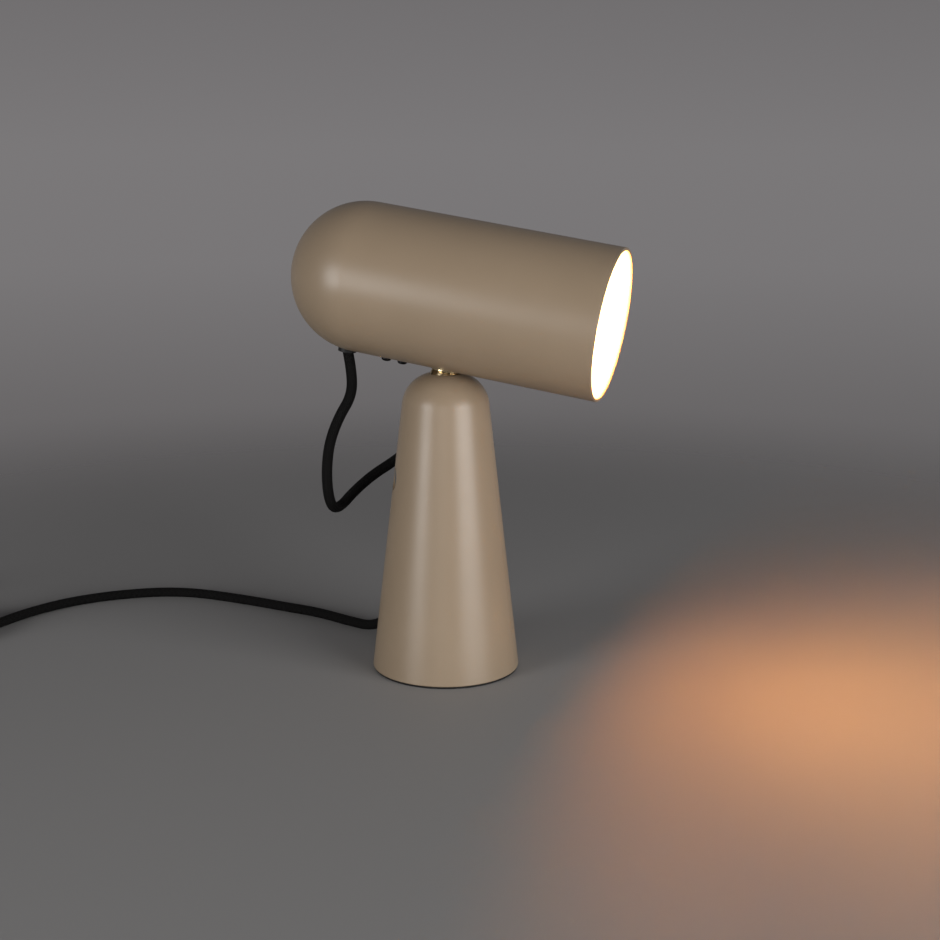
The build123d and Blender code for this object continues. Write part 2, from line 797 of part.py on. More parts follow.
# ------------------------------------------------------------------ wires and terminal block in the stem
def make_terminal_block():
    length, width, height = terminal_size
    block = Box(width, length, height, align=(Align.CENTER, Align.CENTER, Align.MIN))
    block = fillet(block.edges().filter_by(Axis.Z), 1)
    for side in (-1, 1):
        block -= Pos(0, side * length / 4, height - 2) * cylinder(2, 0, cut)
    return around(terminal_azimuth, ballast_top, inner_radius(ballast_top) - terminal_inset) * block


def at(azimuth, distance, height):
    """Point inside the stem."""
    return (distance * math.cos(math.radians(azimuth)), distance * math.sin(math.radians(azimuth)), height)


def make_inner_wires():
    """Mains bush to terminal block, terminal block to switch, and switch to the lead's bush."""
    block_distance = inner_radius(ballast_top) - terminal_inset
    block_level = ballast_top + terminal_size[2] / 2
    block_end = around(terminal_azimuth, block_level, block_distance) * Pos(0, terminal_size[0] / 2 + press_gap, 0)
    block_approach = block_end * Pos(0, 4 * wire_radius, 0)
    bush_end = stem_radius(mains_bush_height) - bush_barrel_length - press_gap
    rise = channel_start + 5 * wire_radius
    supply = [
        at(cord_azimuth, bush_end, mains_bush_height),
        at(cord_azimuth, rise, mains_bush_height),
        at(cord_azimuth, rise, block_level),
        tuple(block_approach.position),
        tuple(block_end.position),
    ]
    block_top = ballast_top + terminal_size[2] + press_gap
    terminals = switch_rear + switch_terminal_inset
    below_switch = switch_height - switch_rear_radius - press_gap
    above_switch = switch_height + switch_rear_radius + press_gap
    live = [
        at(terminal_azimuth, block_distance, block_top),
        at(terminal_azimuth, block_distance, block_top + wire_rise),
        at(switch_azimuth, terminals, below_switch - wire_drop),
        at(switch_azimuth, terminals, below_switch),
    ]
    over_switch = above_switch + 5 * wire_radius
    lead_end = stem_radius(lead_bush_height) - bush_barrel_length - wire_radius
    lamp = [
        at(switch_azimuth, terminals, above_switch),
        at(switch_azimuth, terminals, over_switch),
        at((switch_azimuth + cord_azimuth) / 2, terminals, (over_switch + lead_bush_height) / 2),
        at(cord_azimuth, lead_end, lead_bush_height),
    ]
    bend = 2 * wire_radius
    return [wire_tube(route, wire_radius, bend) for route in (supply, live, lamp)]


# ------------------------------------------------------------------ cords
def lead_meeting_point():
    """Where the lead's two nodes meet."""
    return tuple((Vector(*lead_upper_route[-1]) + Vector(*lead_lower_route[0])) * 0.5)


def make_mains_cord():
    return [cord_tube(mains_route, cord_radius), cord_tube(plug_route, cord_radius)]


def make_mains_coil():
    """The outer shape of the wound cord."""
    cord = 2 * cord_radius
    inner = coil_mid_radius - coil_columns * cord_radius
    outer = coil_mid_radius + coil_columns * cord_radius
    low = table_gap + tie_thickness
    coil = ring(outer, inner, low, low + coil_rows * cord)
    coil = fillet(coil.edges().filter_by(GeomType.CIRCLE), cord_radius / 2)
    return Pos(*coil_centre, 0) * coil


def make_cord_tie():
    """Flat band round the coil."""
    high = coil_rows * 2 * cord_radius
    wide = coil_columns * 2 * cord_radius
    low = table_gap + tie_thickness
    outside = Box(wide + 2 * tie_thickness, tie_width, high + 2 * tie_thickness)
    place = Pos(*coil_centre, 0) * Rot(0, 0, tie_azimuth) * Pos(coil_mid_radius, 0, low + high / 2)
    return place * outside - make_mains_coil()


plug_frame = Pos(*plug_rear, plug_body_height / 2 + table_gap) * Rot(0, 0, 90)


def make_plug_body():
    """Flat two-pin plug body, wider at its face, with a tapered cord relief."""
    half_rear, half_front = plug_rear_width / 2, plug_body_width / 2
    start, end = plug_relief_length, plug_relief_length + plug_body_length
    waist = start + plug_body_length / 3
    outline = Polygon(
        (start, -half_rear), (waist, -half_front), (end, -half_front),
        (end, half_front), (waist, half_front), (start, half_rear),
        align=None,
    )
    body = extrude(outline, plug_body_height / 2, both=True)
    body = fillet(body.edges(), plug_edge)
    relief = Rot(0, 90, 0) * Cone(cord_radius + 1, plug_relief_radius, plug_relief_length + 1,
                                  align=(Align.CENTER, Align.CENTER, Align.MIN))
    return plug_frame * (body + relief)


def make_plug_pins():
    face = plug_relief_length + plug_body_length
    pins = []
    for side in (-1, 1):
        pin = cylinder(plug_pin_radius, 0, plug_pin_length)
        pin = fillet(pin.edges().group_by(Axis.Z)[-1], plug_pin_radius / 2)
        pins.append(plug_frame * Pos(face, side * plug_pin_spacing / 2, 0) * Rot(0, 90, 0) * pin)
    return pins


# ------------------------------------------------------------------ write every node
def in_head(shape):
    """Puts a piece, or a list of pieces, from the ball's frame into the lamp's frame."""
    if isinstance(shape, list):
        return [head_frame * one for one in shape]
    return head_frame * shape


nodes = {
    "stem_shell": make_stem_shell(),
    "foot_pad": make_foot_pad(),
    "base_plate": make_base_plate(),
    "base_screws": make_base_screws(),
    "ballast_weight": make_ballast_weight(),
    "bearing_housing": make_bearing_housing(),
    "centre_tube": make_centre_tube(),
    "swivel_tongue": make_swivel_tongue(),
    "disc_springs": make_disc_springs(),
    "spring_washer": make_spring_washer(),
    "swivel_nut": make_swivel_nut(),
    "lead_bush": make_lead_bush(),
    "lead_bush_nut": make_bush_nut(lead_bush_frame, bush_nut_flats, stem_inside),
    "mains_bush": make_mains_bush(),
    "mains_bush_nut": make_bush_nut(mains_bush_frame, mains_nut_flats, stem_inside),
    "switch_button": make_switch_button(),
    "switch_housing": make_switch_housing(),
    "switch_nut": make_switch_nut(),
    "terminal_block": make_terminal_block(),
    "inner_wires": make_inner_wires(),
    "swivel_ball": in_head(make_swivel_ball()),
    "hinge_pin": in_head(make_hinge_pin()),
    "saddle_washer": in_head(make_saddle_washer()),
    "saddle_plate": in_head(make_saddle_plate()),
    "ball_screws": in_head(make_ball_screws()),
    "shade_shell": in_head(make_shade_shell()),
    "shade_bush": in_head(make_shade_bush()),
    "shade_bush_nut": in_head(make_bush_nut(shade_bush_frame, bush_nut_flats, shade_inside)),
    "holder_bracket": in_head(make_holder_bracket()),
    "bracket_screws": in_head(make_bracket_screws()),
    "bracket_nuts": in_head(make_bracket_nuts()),
    "holder_nipple": in_head(make_holder_nipple()),
    "nipple_nut": in_head(make_nipple_nut()),
    "holder_cap": in_head(make_holder_cap()),
    "holder_skirt": in_head(make_holder_skirt()),
    "holder_insert": in_head(make_holder_insert()),
    "bulb_cap": in_head(make_bulb_cap()),
    "bulb_contact": in_head(make_bulb_contact()),
    "bulb_glass": in_head(make_bulb_glass()),
    "head_wires": in_head(make_head_wires()),
    "head_lead_upper": cord_tube(lead_upper_route + [lead_meeting_point()], cord_radius),
    "head_lead_lower": cord_tube([lead_meeting_point()] + lead_lower_route, cord_radius),
    "mains_cord": make_mains_cord(),
    "mains_coil": make_mains_coil(),
    "cord_tie": make_cord_tie(),
    "plug_body": make_plug_body(),
    "plug_pins": make_plug_pins(),
}

os.makedirs("parts", exist_ok=True)
for name, shape in nodes.items():
    if isinstance(shape, list):
        shape = Compound(children=shape)
    export_step(shape, f"parts/{name}.step")

print("pivot height", round(pivot_height, 2))
for name, route in (("lead", lead_upper_route + lead_lower_route), ("mains", mains_route), ("plug", plug_route)):
    print(name, "arc radii", [round(radius, 1) for radius in arc_radii(route)])
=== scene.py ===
# %% [markdown]
# # A tabletop searchlight lamp
#
# The lamp is a round spotlight shade that balances on a brass ball at the top
# of a cone-shaped stem. A fabric-covered lead hangs in a loop between the two,
# and a mains cord of the same kind leaves the foot at the back. The solid
# parts come ready made and packed as a frame. This lesson loads them, lays the
# cords, smooths one spot of the shade, models two screws again in finer detail
# and gives each part its finish. Lengths are in metres, unless a comment or
# `mm` says otherwise.

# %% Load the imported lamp
import json
import math

import bmesh
import bpy
from mathutils import Matrix, Vector

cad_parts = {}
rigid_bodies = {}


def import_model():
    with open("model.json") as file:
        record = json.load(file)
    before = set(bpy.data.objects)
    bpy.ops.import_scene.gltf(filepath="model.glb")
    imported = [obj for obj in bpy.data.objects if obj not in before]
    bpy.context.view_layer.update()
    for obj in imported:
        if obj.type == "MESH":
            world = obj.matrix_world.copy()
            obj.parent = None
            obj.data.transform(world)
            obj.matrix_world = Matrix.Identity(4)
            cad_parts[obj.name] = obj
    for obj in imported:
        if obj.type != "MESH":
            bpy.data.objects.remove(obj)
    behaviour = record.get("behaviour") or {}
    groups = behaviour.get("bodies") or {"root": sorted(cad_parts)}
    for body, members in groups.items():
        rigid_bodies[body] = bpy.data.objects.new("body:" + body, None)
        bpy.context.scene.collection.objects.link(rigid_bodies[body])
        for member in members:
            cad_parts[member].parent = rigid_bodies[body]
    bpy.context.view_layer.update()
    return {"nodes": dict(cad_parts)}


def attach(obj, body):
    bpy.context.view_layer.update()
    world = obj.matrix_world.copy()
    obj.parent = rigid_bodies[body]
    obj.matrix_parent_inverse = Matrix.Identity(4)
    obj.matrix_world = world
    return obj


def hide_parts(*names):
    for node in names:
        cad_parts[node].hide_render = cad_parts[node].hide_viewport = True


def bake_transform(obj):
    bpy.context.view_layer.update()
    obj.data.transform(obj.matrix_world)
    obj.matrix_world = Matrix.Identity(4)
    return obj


for leftover in list(bpy.data.objects):
    bpy.data.objects.remove(leftover)

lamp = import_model()
nodes = lamp["nodes"]

# %% [markdown]
# ## The camera
#
# The lamp is seen from a little above its shade and from its right, with a
# short telephoto lens, which keeps the shade's round tube from looking
# swollen. A camera can be aimed with a Track To constraint. Here the direction
# is written as two angles and turned into a rotation, so nothing depends on
# another object. A last tiny turn about the line of sight levels the picture.
# The Standard view shows each colour as it is written.

# %% Aim the camera
camera_place = Vector((0.33838, -1.04753, 0.39438))
heading, dip, lean = 0.29688, 0.22339, math.radians(0.12)
ahead = Vector((
    -math.sin(heading) * math.cos(dip), math.cos(heading) * math.cos(dip), -math.sin(dip),
))

camera = bpy.data.objects.new("camera", bpy.data.cameras.new("camera"))
camera.data.lens = 61.3  # millimetres
turned = ahead.to_track_quat("-Z", "Y").to_matrix() @ Matrix.Rotation(lean, 3, "Z")
camera.matrix_world = Matrix.Translation(camera_place) @ turned.to_4x4()
bpy.context.scene.collection.objects.link(camera)
bpy.context.scene.camera = camera
bpy.context.scene.view_settings.view_transform = "Standard"
print("camera looks along", [round(value, 3) for value in ahead])

# %% [markdown]
# ## The cords' lines
#
# A fabric-covered cord is a soft tube of one thickness that follows a smooth
# line. It could be swept along a mesh by hand, but a NURBS curve does it
# better: a handful of points pulls one smooth line along, and the bevel gives
# the line its thickness. With an order of 3 and its ends clamped, the curve
# starts and stops exactly at its first and last point. The order is set after
# the points are there, because a shorter spline can't hold it.

# %% Draw a line through a few points
mm = 0.001
cord_thickness = 7.6 * mm
collection = bpy.context.scene.collection


def cord_line(name, places):
    """A NURBS curve pulled along the places, which are in millimetres."""
    data = bpy.data.curves.new(name, "CURVE")
    data.dimensions = "3D"
    spline = data.splines.new("NURBS")
    spline.points.add(len(places) - 1)
    for point, place in zip(spline.points, places):
        point.co = (place[0] * mm, place[1] * mm, place[2] * mm, 1)
    spline.order_u = 3
    spline.use_endpoint_u = True
    spline.resolution_u = 8
    return data


# %% [markdown]
# ## From a line to a braided tube
#
# The tube is made a mesh, because a mesh keeps a UV map on which the braid's
# pattern can run round and along the cord. The same curve without its bevel
# gives the middle line, which says how long the cord is. The UV map runs from 0
# to 1 along the cord, however long that is, so it is stretched until one unit
# is as long as the cord is round. Then one braid fits every cord. A curve
# leaves the caps at its ends loose, so points that lie on each other are
# merged, and the sharp rim keeps the caps flat.

# %% Take a mesh from what Blender shows
same_place = 0.001 * mm
sharp_edge = math.radians(35)


def evaluated_mesh(piece):
    """The mesh of an object as it is shown, with its bevel or modifiers."""
    bpy.context.view_layer.update()
    shown = piece.evaluated_get(bpy.context.evaluated_depsgraph_get())
    return bpy.data.meshes.new_from_object(shown)


def mesh_of_line(data):
    """The mesh of a curve, which needs an object for as long as it is shown."""
    holder = bpy.data.objects.new("holder", data)
    collection.objects.link(holder)
    mesh = evaluated_mesh(holder)
    bpy.data.objects.remove(holder)
    return mesh


def merge_seams(mesh):
    """Joins the points of a mesh that lie on each other."""
    shape = bmesh.new()
    shape.from_mesh(mesh)
    bmesh.ops.remove_doubles(shape, verts=shape.verts, dist=same_place)
    shape.to_mesh(mesh)
    shape.free()


# %% [markdown]
# ## One function for all cords
#
# The lead and the mains cord differ only in their lines. So one function makes
# the tube, stretches its UV map and hands back the middle line and the cord's
# length.

# %% Turn a line into a tube
def braided_tube(name, places):
    """A closed tube along the places, with its middle line and its length."""
    data = cord_line(name, places)
    middle = [vertex.co.copy() for vertex in mesh_of_line(data).vertices]
    length = sum((b - a).length for a, b in zip(middle, middle[1:]))
    data.bevel_depth = cord_thickness / 2
    data.bevel_resolution = 6
    data.use_fill_caps = True
    tube = bpy.data.objects.new(name, mesh_of_line(data))
    collection.objects.link(tube)
    for loop in tube.data.uv_layers[0].data:
        loop.uv.x *= length / (math.pi * cord_thickness)
    merge_seams(tube.data)
    tube.data.shade_smooth()
    tube.data.set_sharp_from_angle(angle=sharp_edge)
    print(name, round(length * 1000), "mm,", len(tube.data.polygons), "faces")
    return tube, middle, length


# %% [markdown]
# ## The lead between shade and stem
#
# The lead leaves the shade through a bush under its back end, drops behind the
# stem, turns in a small loop and climbs into a second bush in the stem's back.
# It has to follow two joints: the shade turns about the stem and nods on its
# ball. One tube can only bend between two parts, so the lead is two tubes that
# meet where it hangs straight. Both lines end on the same point and in the
# same direction, so the join doesn't show.

# %% Lay the two halves of the lead
lead_top = [
    (-72.8, 0.3, 226.0), (-70.1, 0.9, 211.0), (-69.9, -0.2, 194.0),
    (-79.0, -3.5, 178.0), (-84.8, -7.5, 160.1),
]
lead_bottom = [
    (-86.9, -8.5, 140.9), (-86.8, -7.2, 122.8), (-86.8, 1.2, 109.7),
    (-86.1, 16.0, 107.5), (-80.5, 27.4, 116.3), (-68.5, 34.3, 128.0),
    (-54.6, 40.0, 137.6), (-41.9, 36.1, 147.4), (-29.4, 24.7, 150.0),
]
lead_middle = tuple((a + b) / 2 for a, b in zip(lead_top[-1], lead_bottom[0]))

lead_upper, upper_middle, upper_length = braided_tube("lead_upper", [*lead_top, lead_middle])
lead_lower, lower_middle, lower_length = braided_tube("lead_lower", [lead_middle, *lead_bottom])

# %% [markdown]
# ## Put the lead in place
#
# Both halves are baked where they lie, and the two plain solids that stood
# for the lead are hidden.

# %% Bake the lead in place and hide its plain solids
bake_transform(lead_upper)
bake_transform(lead_lower)
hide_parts("head_lead_upper")
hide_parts("head_lead_lower")
print("lead of", round((upper_length + lower_length) * 1000), "mm in two halves")

# %% [markdown]
# ## The mains cord
#
# The mains cord leaves a bush low in the stem's back, drops onto the table and
# wanders off to the left in one loose curve. A table lamp has about 1.8 m of
# it. What isn't needed lies in a neat coil with a tie, and ends in the plug.
# A coil could be drawn point by point. A short rule is easier to change: going
# round clockwise, the cord keeps one radius for a turn and moves in or out by
# one thickness before the next. Nearly three turns lie on the table, and the
# rest lie on top of them. A curve of order 3 meets its frame of points half way
# between each two, so the points stand a little outside the circle.

# %% Points round the coil
coil_middle = (-404, -66)
coil_start, coil_end, coil_spacing = -15, 1965, 15  # degrees
coil_steps = {  # after so many degrees: radius and height, in millimetres
    0: (47.6, 4.7), 320: (47.6, 4.7), 360: (40, 4.7), 680: (40, 4.7), 720: (32.4, 4.7),
    1005: (32.4, 4.7), 1040: (32.4, 12.3), 1330: (32.4, 12.3), 1365: (40, 12.3),
    1690: (40, 12.3), 1725: (47.6, 12.3), 1965: (47.6, 12.3),
}


def between_steps(turned):
    """Radius and height of the coil after it has turned so many degrees."""
    before = max(step for step in coil_steps if step <= turned)
    after = min(step for step in coil_steps if step >= turned)
    share = (turned - before) / max(after - before, 1)
    return [a + (b - a) * share for a, b in zip(coil_steps[before], coil_steps[after])]


def coil_point(turned):
    """A point that pulls the line round the coil, a little outside the line."""
    radius, height = between_steps(turned)
    angle = math.radians(coil_start - turned)
    reach = radius / math.cos(math.radians(coil_spacing / 2))
    x, y = coil_middle
    return (x + reach * math.cos(angle), y + reach * math.sin(angle), height)


coil = [coil_point(turned) for turned in range(0, coil_end + 1, coil_spacing)]
print("coil of", round(coil_end / 360, 1), "turns,", len(coil), "points")

# %% [markdown]
# ## Lay the mains cord
#
# The run over the table, the coil and the short rise into the plug are one
# line. The cord rides on the stem, because its bush holds it, and it takes the
# place of the two plain solids that stood for it. The plug, its pins and the
# tie belong to it.

# %% One cord from the bush to the plug
mains_run = [
    (-54.6, 45.8, 15.0), (-64.0, 51.8, 11.8), (-77.5, 54.6, 3.9), (-96.5, 60.3, 3.9),
    (-130.0, 74.3, 3.9), (-159.0, 79.5, 3.9), (-188.0, 85.5, 3.9), (-216.0, 89.8, 3.9),
    (-245.0, 92.5, 3.9), (-270.0, 88.0, 3.9), (-293.0, 76.0, 3.9), (-316.0, 58.0, 3.9),
    (-336.0, 33.0, 3.9), (-348.5, 4.0, 3.9), (-355.0, -23.0, 3.9), (-357.2, -48.0, 4.7),
]
rise_to_plug = [
    (-452.3, -57.0, 12.3), (-453.2, -45.0, 11.2), (-452.6, -32.5, 7.8), (-452.0, -20.0, 6.95),
]

mains, mains_middle, mains_length = braided_tube("mains", [*mains_run, *coil, *rise_to_plug])
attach(mains, "stem")
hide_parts("mains_cord", "mains_coil")
print("mains cord,", round(mains_length, 2), "m along its line")

# %% [markdown]
# ## Writing finishes as sums
#
# A finish is a small network of nodes. Wiring it by hand takes many lines, so
# one small class wraps the output of a node. Adding, subtracting, multiplying
# or comparing wrapped values adds the Math node that does it, and the `node`
# method makes any other node: its settings come first, then its inputs, which
# are plain numbers or other wrapped values.

# %% A value that varies over a surface
def feed(node, inputs):
    """Sets a node's inputs: a wrapped value is linked, anything else is written in."""
    for name, value in inputs.items():
        if isinstance(value, Varying):
            value.tree.links.new(value.socket, node.inputs[name])
        else:
            node.inputs[name].default_value = value


class Varying:
    """The output of a shader node, which can be used in sums."""

    def __init__(self, tree, socket=None):
        self.tree, self.socket = tree, socket

    def node(self, kind, settings=None, inputs=None, output=0):
        """Adds any node, sets it up, feeds it and wraps one of its outputs."""
        made = self.tree.nodes.new(kind)
        for name, value in (settings or {}).items():
            if name == "stops":
                for stop, (position, colour) in zip(self.enough_stops(made, value), value):
                    stop.position, stop.color = position, colour
            else:
                setattr(made, name, value)
        feed(made, inputs or {})
        return Varying(self.tree, made.outputs[output])

    @staticmethod
    def enough_stops(ramp, wanted):
        """The stops of a colour ramp, with new ones added until they suffice."""
        stops = ramp.color_ramp.elements
        while len(stops) < len(wanted):
            stops.new(1.0)
        return stops

    def sum(self, operation, first, second=0.0):
        """Adds the Math node that does one sum."""
        return self.node("ShaderNodeMath", {"operation": operation}, {0: first, 1: second})

    def __add__(self, other):
        return self.sum("ADD", self, other)

    def __sub__(self, other):
        return self.sum("SUBTRACT", self, other)

    def __rsub__(self, other):
        return self.sum("SUBTRACT", other, self)

    def __mul__(self, other):
        return self.sum("MULTIPLY", self, other)

    def __lt__(self, other):
        return self.sum("LESS_THAN", self, other)

    def __mod__(self, other):
        return self.sum("FLOORED_MODULO", self, other)

    def __abs__(self):
        return self.sum("ABSOLUTE", self)

    __radd__, __rmul__ = __add__, __mul__


# %% [markdown]
# ## Helpers for every finish
#
# Each finish starts the same way: a material with one main shader, and the
# object's own coordinates to hang patterns on. Three more helpers are used
# again and again. A cloud of noise varies a value softly, a mix blends two
# colours by it, and a bump turns a height into small tilts of the surface. The
# Mix node has sockets for each kind of value, and those for colours are its
# inputs 6 and 7 and its output 2.

# %% Start a finish
def new_finish(name):
    """A material, its main shader, and a wrapped place on the object."""
    finish = bpy.data.materials.new(name)
    finish.use_nodes = True
    shader = finish.node_tree.nodes["Principled BSDF"]
    place = Varying(finish.node_tree).node("ShaderNodeTexCoord", output="Object")
    return finish, shader, place


def clouds(place, size, detail=2.0, stretch=(1, 1, 1)):
    """Soft noise from 0 to 1 whose patches are about size metres across."""
    stretched = place.node("ShaderNodeMapping", {}, {"Vector": place, "Scale": stretch})
    return place.node("ShaderNodeTexNoise", {},
                      {"Vector": stretched, "Scale": 1 / size, "Detail": detail})


def mixed(share, first, second):
    """Blends two colours, red, green and blue, by a share from 0 to 1."""
    first, second = ((*colour, 1) if isinstance(colour, tuple) else colour
                     for colour in (first, second))
    return share.node("ShaderNodeMix", {"data_type": "RGBA"},
                      {0: share, 6: first, 7: second}, output=2)


def bumped(height, depth, strength=1.0):
    """A normal that follows a height from 0 to 1, which is so deep in metres."""
    return height.node("ShaderNodeBump", {},
                       {"Strength": strength, "Distance": depth, "Height": height})


# %% [markdown]
# ## Powder coat
#
# The stem and the shade are spun metal with a satin powder coat in a warm grey
# brown. Powder melts into a skin with a very fine orange peel, and it is a
# touch duller in some places than in others. Flat paint would look like
# plastic, so the peel goes into the bump and soft clouds change the roughness
# and, very slightly, the colour.

# %% The taupe coat
coat_dark, coat_light = (0.266, 0.199, 0.134), (0.300, 0.225, 0.154)
colour_patch, dull_patch = 0.05, 0.012
peel_width, peel_depth = 0.0012, 0.00006


def powder_coat(shader, place):
    """Wires the coat's colour, roughness and peel to a shader."""
    patches = clouds(place, colour_patch, 3)
    peel = clouds(place, peel_width, 1)
    feed(shader, {
        "Base Color": mixed(patches, coat_dark, coat_light),
        "Roughness": 0.31 + 0.08 * clouds(place, dull_patch, 3), "Specular IOR Level": 0.42,
        "Normal": bumped(peel, peel_depth, 0.35),
    })


stem_coat, stem_shader, stem_place = new_finish("taupe_powder_coat")
powder_coat(stem_shader, stem_place)
print("powder coat of", len(stem_coat.node_tree.nodes), "nodes on the stem")

# %% [markdown]
# ## White inside the shade
#
# Inside, the shade is white, so that it throws the light forward. Both skins
# are one mesh. They could be parted by hand, but a mask does it by measure: a
# point whose distance from the shade's axis is less than the middle of its
# wall lies inside. The shade is a tube that ends in half a sphere, so the
# distance is taken from a half line that starts at the sphere's centre. The
# rolled lip at the mouth wears the outer coat all round, so the white stops
# just behind it.

# %% A coat that knows inside from outside
dome_centre = Vector((-57.73, 0, 278.26)) * mm
shade_way = Vector((0.98860, 0, -0.15057))
shade_radius, shade_wall, lip_start = 52.5 * mm, 1.2 * mm, 175.2 * mm
white_dark, white_light = (0.80, 0.79, 0.76), (0.84, 0.83, 0.80)


def vector_sum(start, operation, inputs, output=0):
    """One Vector Math node."""
    return start.node("ShaderNodeVectorMath", {"operation": operation}, inputs, output)


def inside_shade(place):
    """1 on the inner skin of the shade and 0 on the outer one."""
    from_centre = vector_sum(place, "SUBTRACT", {0: place, 1: dome_centre})
    along = vector_sum(place, "DOT_PRODUCT", {0: from_centre, 1: shade_way}, 1)
    along = along.sum("MAXIMUM", along, 0.0)
    axis_point = vector_sum(place, "SCALE", {0: shade_way, "Scale": along})
    aside = vector_sum(place, "SUBTRACT", {0: from_centre, 1: axis_point})
    distance = vector_sum(place, "LENGTH", {0: aside}, 1)
    return (distance < shade_radius - shade_wall / 2) * (along < lip_start)


shade_coat, shade_shader, shade_place = new_finish("shade_coat_white_inside")
powder_coat(shade_shader, shade_place)
outer_colour = Varying(shade_coat.node_tree, shade_shader.inputs["Base Color"].links[0].from_socket)
shade_white = mixed(clouds(shade_place, 0.03), white_dark, white_light)
feed(shade_shader, {"Base Color": mixed(inside_shade(shade_place), outer_colour, shade_white)})
print("white up to", round(lip_start / mm, 1), "mm in front of the dome's centre")

# %% [markdown]
# ## A smooth pole on the dome
#
# A solid's skin is shaded with normals that were stored with it. Where all the
# dome's thin triangles meet, at its pole, the stored normal is a degree off,
# and a glossy coat shows that as a speck. The part's own mesh stays as it is. A
# copy with its seams merged takes its place, keeps the stored normals, and gets
# the one true direction at the pole.

# %% Copy the shade and turn its pole's normal
skin = nodes["shade_shell"].data.copy()
kept = skin.attributes.new("kept_normal", "FLOAT_VECTOR", "CORNER")
for corner, normal in zip(kept.data, skin.corner_normals):
    corner.vector = normal.vector
merge_seams(skin)

kept = skin.attributes["kept_normal"]
normals = [corner.vector.copy() for corner in kept.data]
skin.attributes.remove(kept)
pole, pole_reach = dome_centre - shade_way * shade_radius, 0.1 * mm
at_pole = [loop.index for loop in skin.loops
           if (skin.vertices[loop.vertex_index].co - pole).length < pole_reach]
for index in at_pole:
    normals[index] = -shade_way
skin.normals_split_custom_set(normals)

shade_skin = bpy.data.objects.new("shade_skin", skin)
collection.objects.link(shade_skin)
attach(shade_skin, "head")
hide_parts("shade_shell")
print("pole of", len(at_pole), "corners in", len(skin.polygons), "faces")

# %% [markdown]
# ## A screw's domed head
#
# Two screws under the shade's back hold the bracket of the lampholder. As
# solids they have plain round heads. A turned head is easy: a short cylinder
# whose outer edge is bevelled into a dome. The shank is a second cylinder that
# narrows a little towards its tip and goes up through the shade's wall.

# %% Turn a pan head on its shank
head_width, head_height, dome_share = 7.0 * mm, 2.8 * mm, 0.62
shank_width, shank_length, tip_share = 4.0 * mm, 7.6 * mm, 0.8


def loose_piece(name, shape):
    """Writes a bmesh into an object of its own."""
    mesh = bpy.data.meshes.new(name)
    shape.to_mesh(mesh)
    shape.free()
    piece = bpy.data.objects.new(name, mesh)
    collection.objects.link(piece)
    return piece


def screw_form():
    """A domed head that stands on its shank, pointing up."""
    shape = bmesh.new()
    bmesh.ops.create_cone(shape, cap_ends=True, segments=48,
                          radius1=head_width / 2, radius2=head_width / 2, depth=head_height,
                          matrix=Matrix.Translation((0, 0, head_height / 2)))
    near_top = head_height * 0.9
    rim = [edge for edge in shape.edges
           if all(vertex.co.z > near_top for vertex in edge.verts)]
    bmesh.ops.bevel(shape, geom=rim, offset=head_height * dome_share, segments=8, profile=0.5,
                    affect="EDGES", material=-1)
    bmesh.ops.create_cone(shape, cap_ends=True, segments=32,
                          radius1=shank_width / 2 * tip_share, radius2=shank_width / 2,
                          depth=shank_length, matrix=Matrix.Translation((0, 0, -shank_length / 2)))
    return shape


# %% [markdown]
# ## The cross in it
#
# The cross for the screwdriver is cut with a Boolean modifier, because two
# thin boxes describe it exactly and the modifier finds all the new edges by
# itself. Its result is made a mesh, and the cutter is thrown away.

# %% Cut the cross
shade_up = Vector((0.15057, 0, 0.98860))
slot_length, slot_width, slot_depth = 3.9, 0.85, 3.2  # millimetres


def cross_form():
    """Two thin boxes across each other, as deep as a screwdriver's tip goes."""
    shape = bmesh.new()
    for size in ((slot_length, slot_width, slot_depth), (slot_width, slot_length, slot_depth)):
        on_top = Matrix.Translation((0, 0, head_height)) @ Matrix.Diagonal((*size, 1))
        bmesh.ops.create_cube(shape, size=mm, matrix=on_top)
    return shape


def cross_head_screw(place):
    """One finished screw, moved to its place under the shade."""
    screw, cutter = loose_piece("screw", screw_form()), loose_piece("cutter", cross_form())
    cut = screw.modifiers.new("cross", "BOOLEAN")
    cut.operation, cut.object, cut.solver, cut.use_self = "DIFFERENCE", cutter, "EXACT", True
    mesh = evaluated_mesh(screw)
    for spent in (screw, cutter):
        bpy.data.objects.remove(spent)
    head_down = (-shade_up).to_track_quat("Z", "X").to_matrix().to_4x4()
    mesh.transform(Matrix.Translation(place) @ head_down)
    return mesh


# %% [markdown]
# ## Two of them under the shade
#
# The screws stand one behind the other on the shade's lowest line, and they
# turn with it. They are alike and never move by themselves, so both are one
# object, which takes the place of the plain ones.

# %% Put two screws in a row
screw_places = (22.4 * mm, 34.4 * mm)  # in front of the dome's centre
both = bmesh.new()
for along in screw_places:
    both.from_mesh(cross_head_screw(dome_centre + shade_way * along - shade_up * shade_radius))
cross_screws = loose_piece("cross_head_screws", both)
cross_screws.data.shade_smooth()
cross_screws.data.set_sharp_from_angle(angle=sharp_edge)
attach(cross_screws, "head")
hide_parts("bracket_screws")
print("two cross-head screws,", len(cross_screws.data.polygons), "faces")
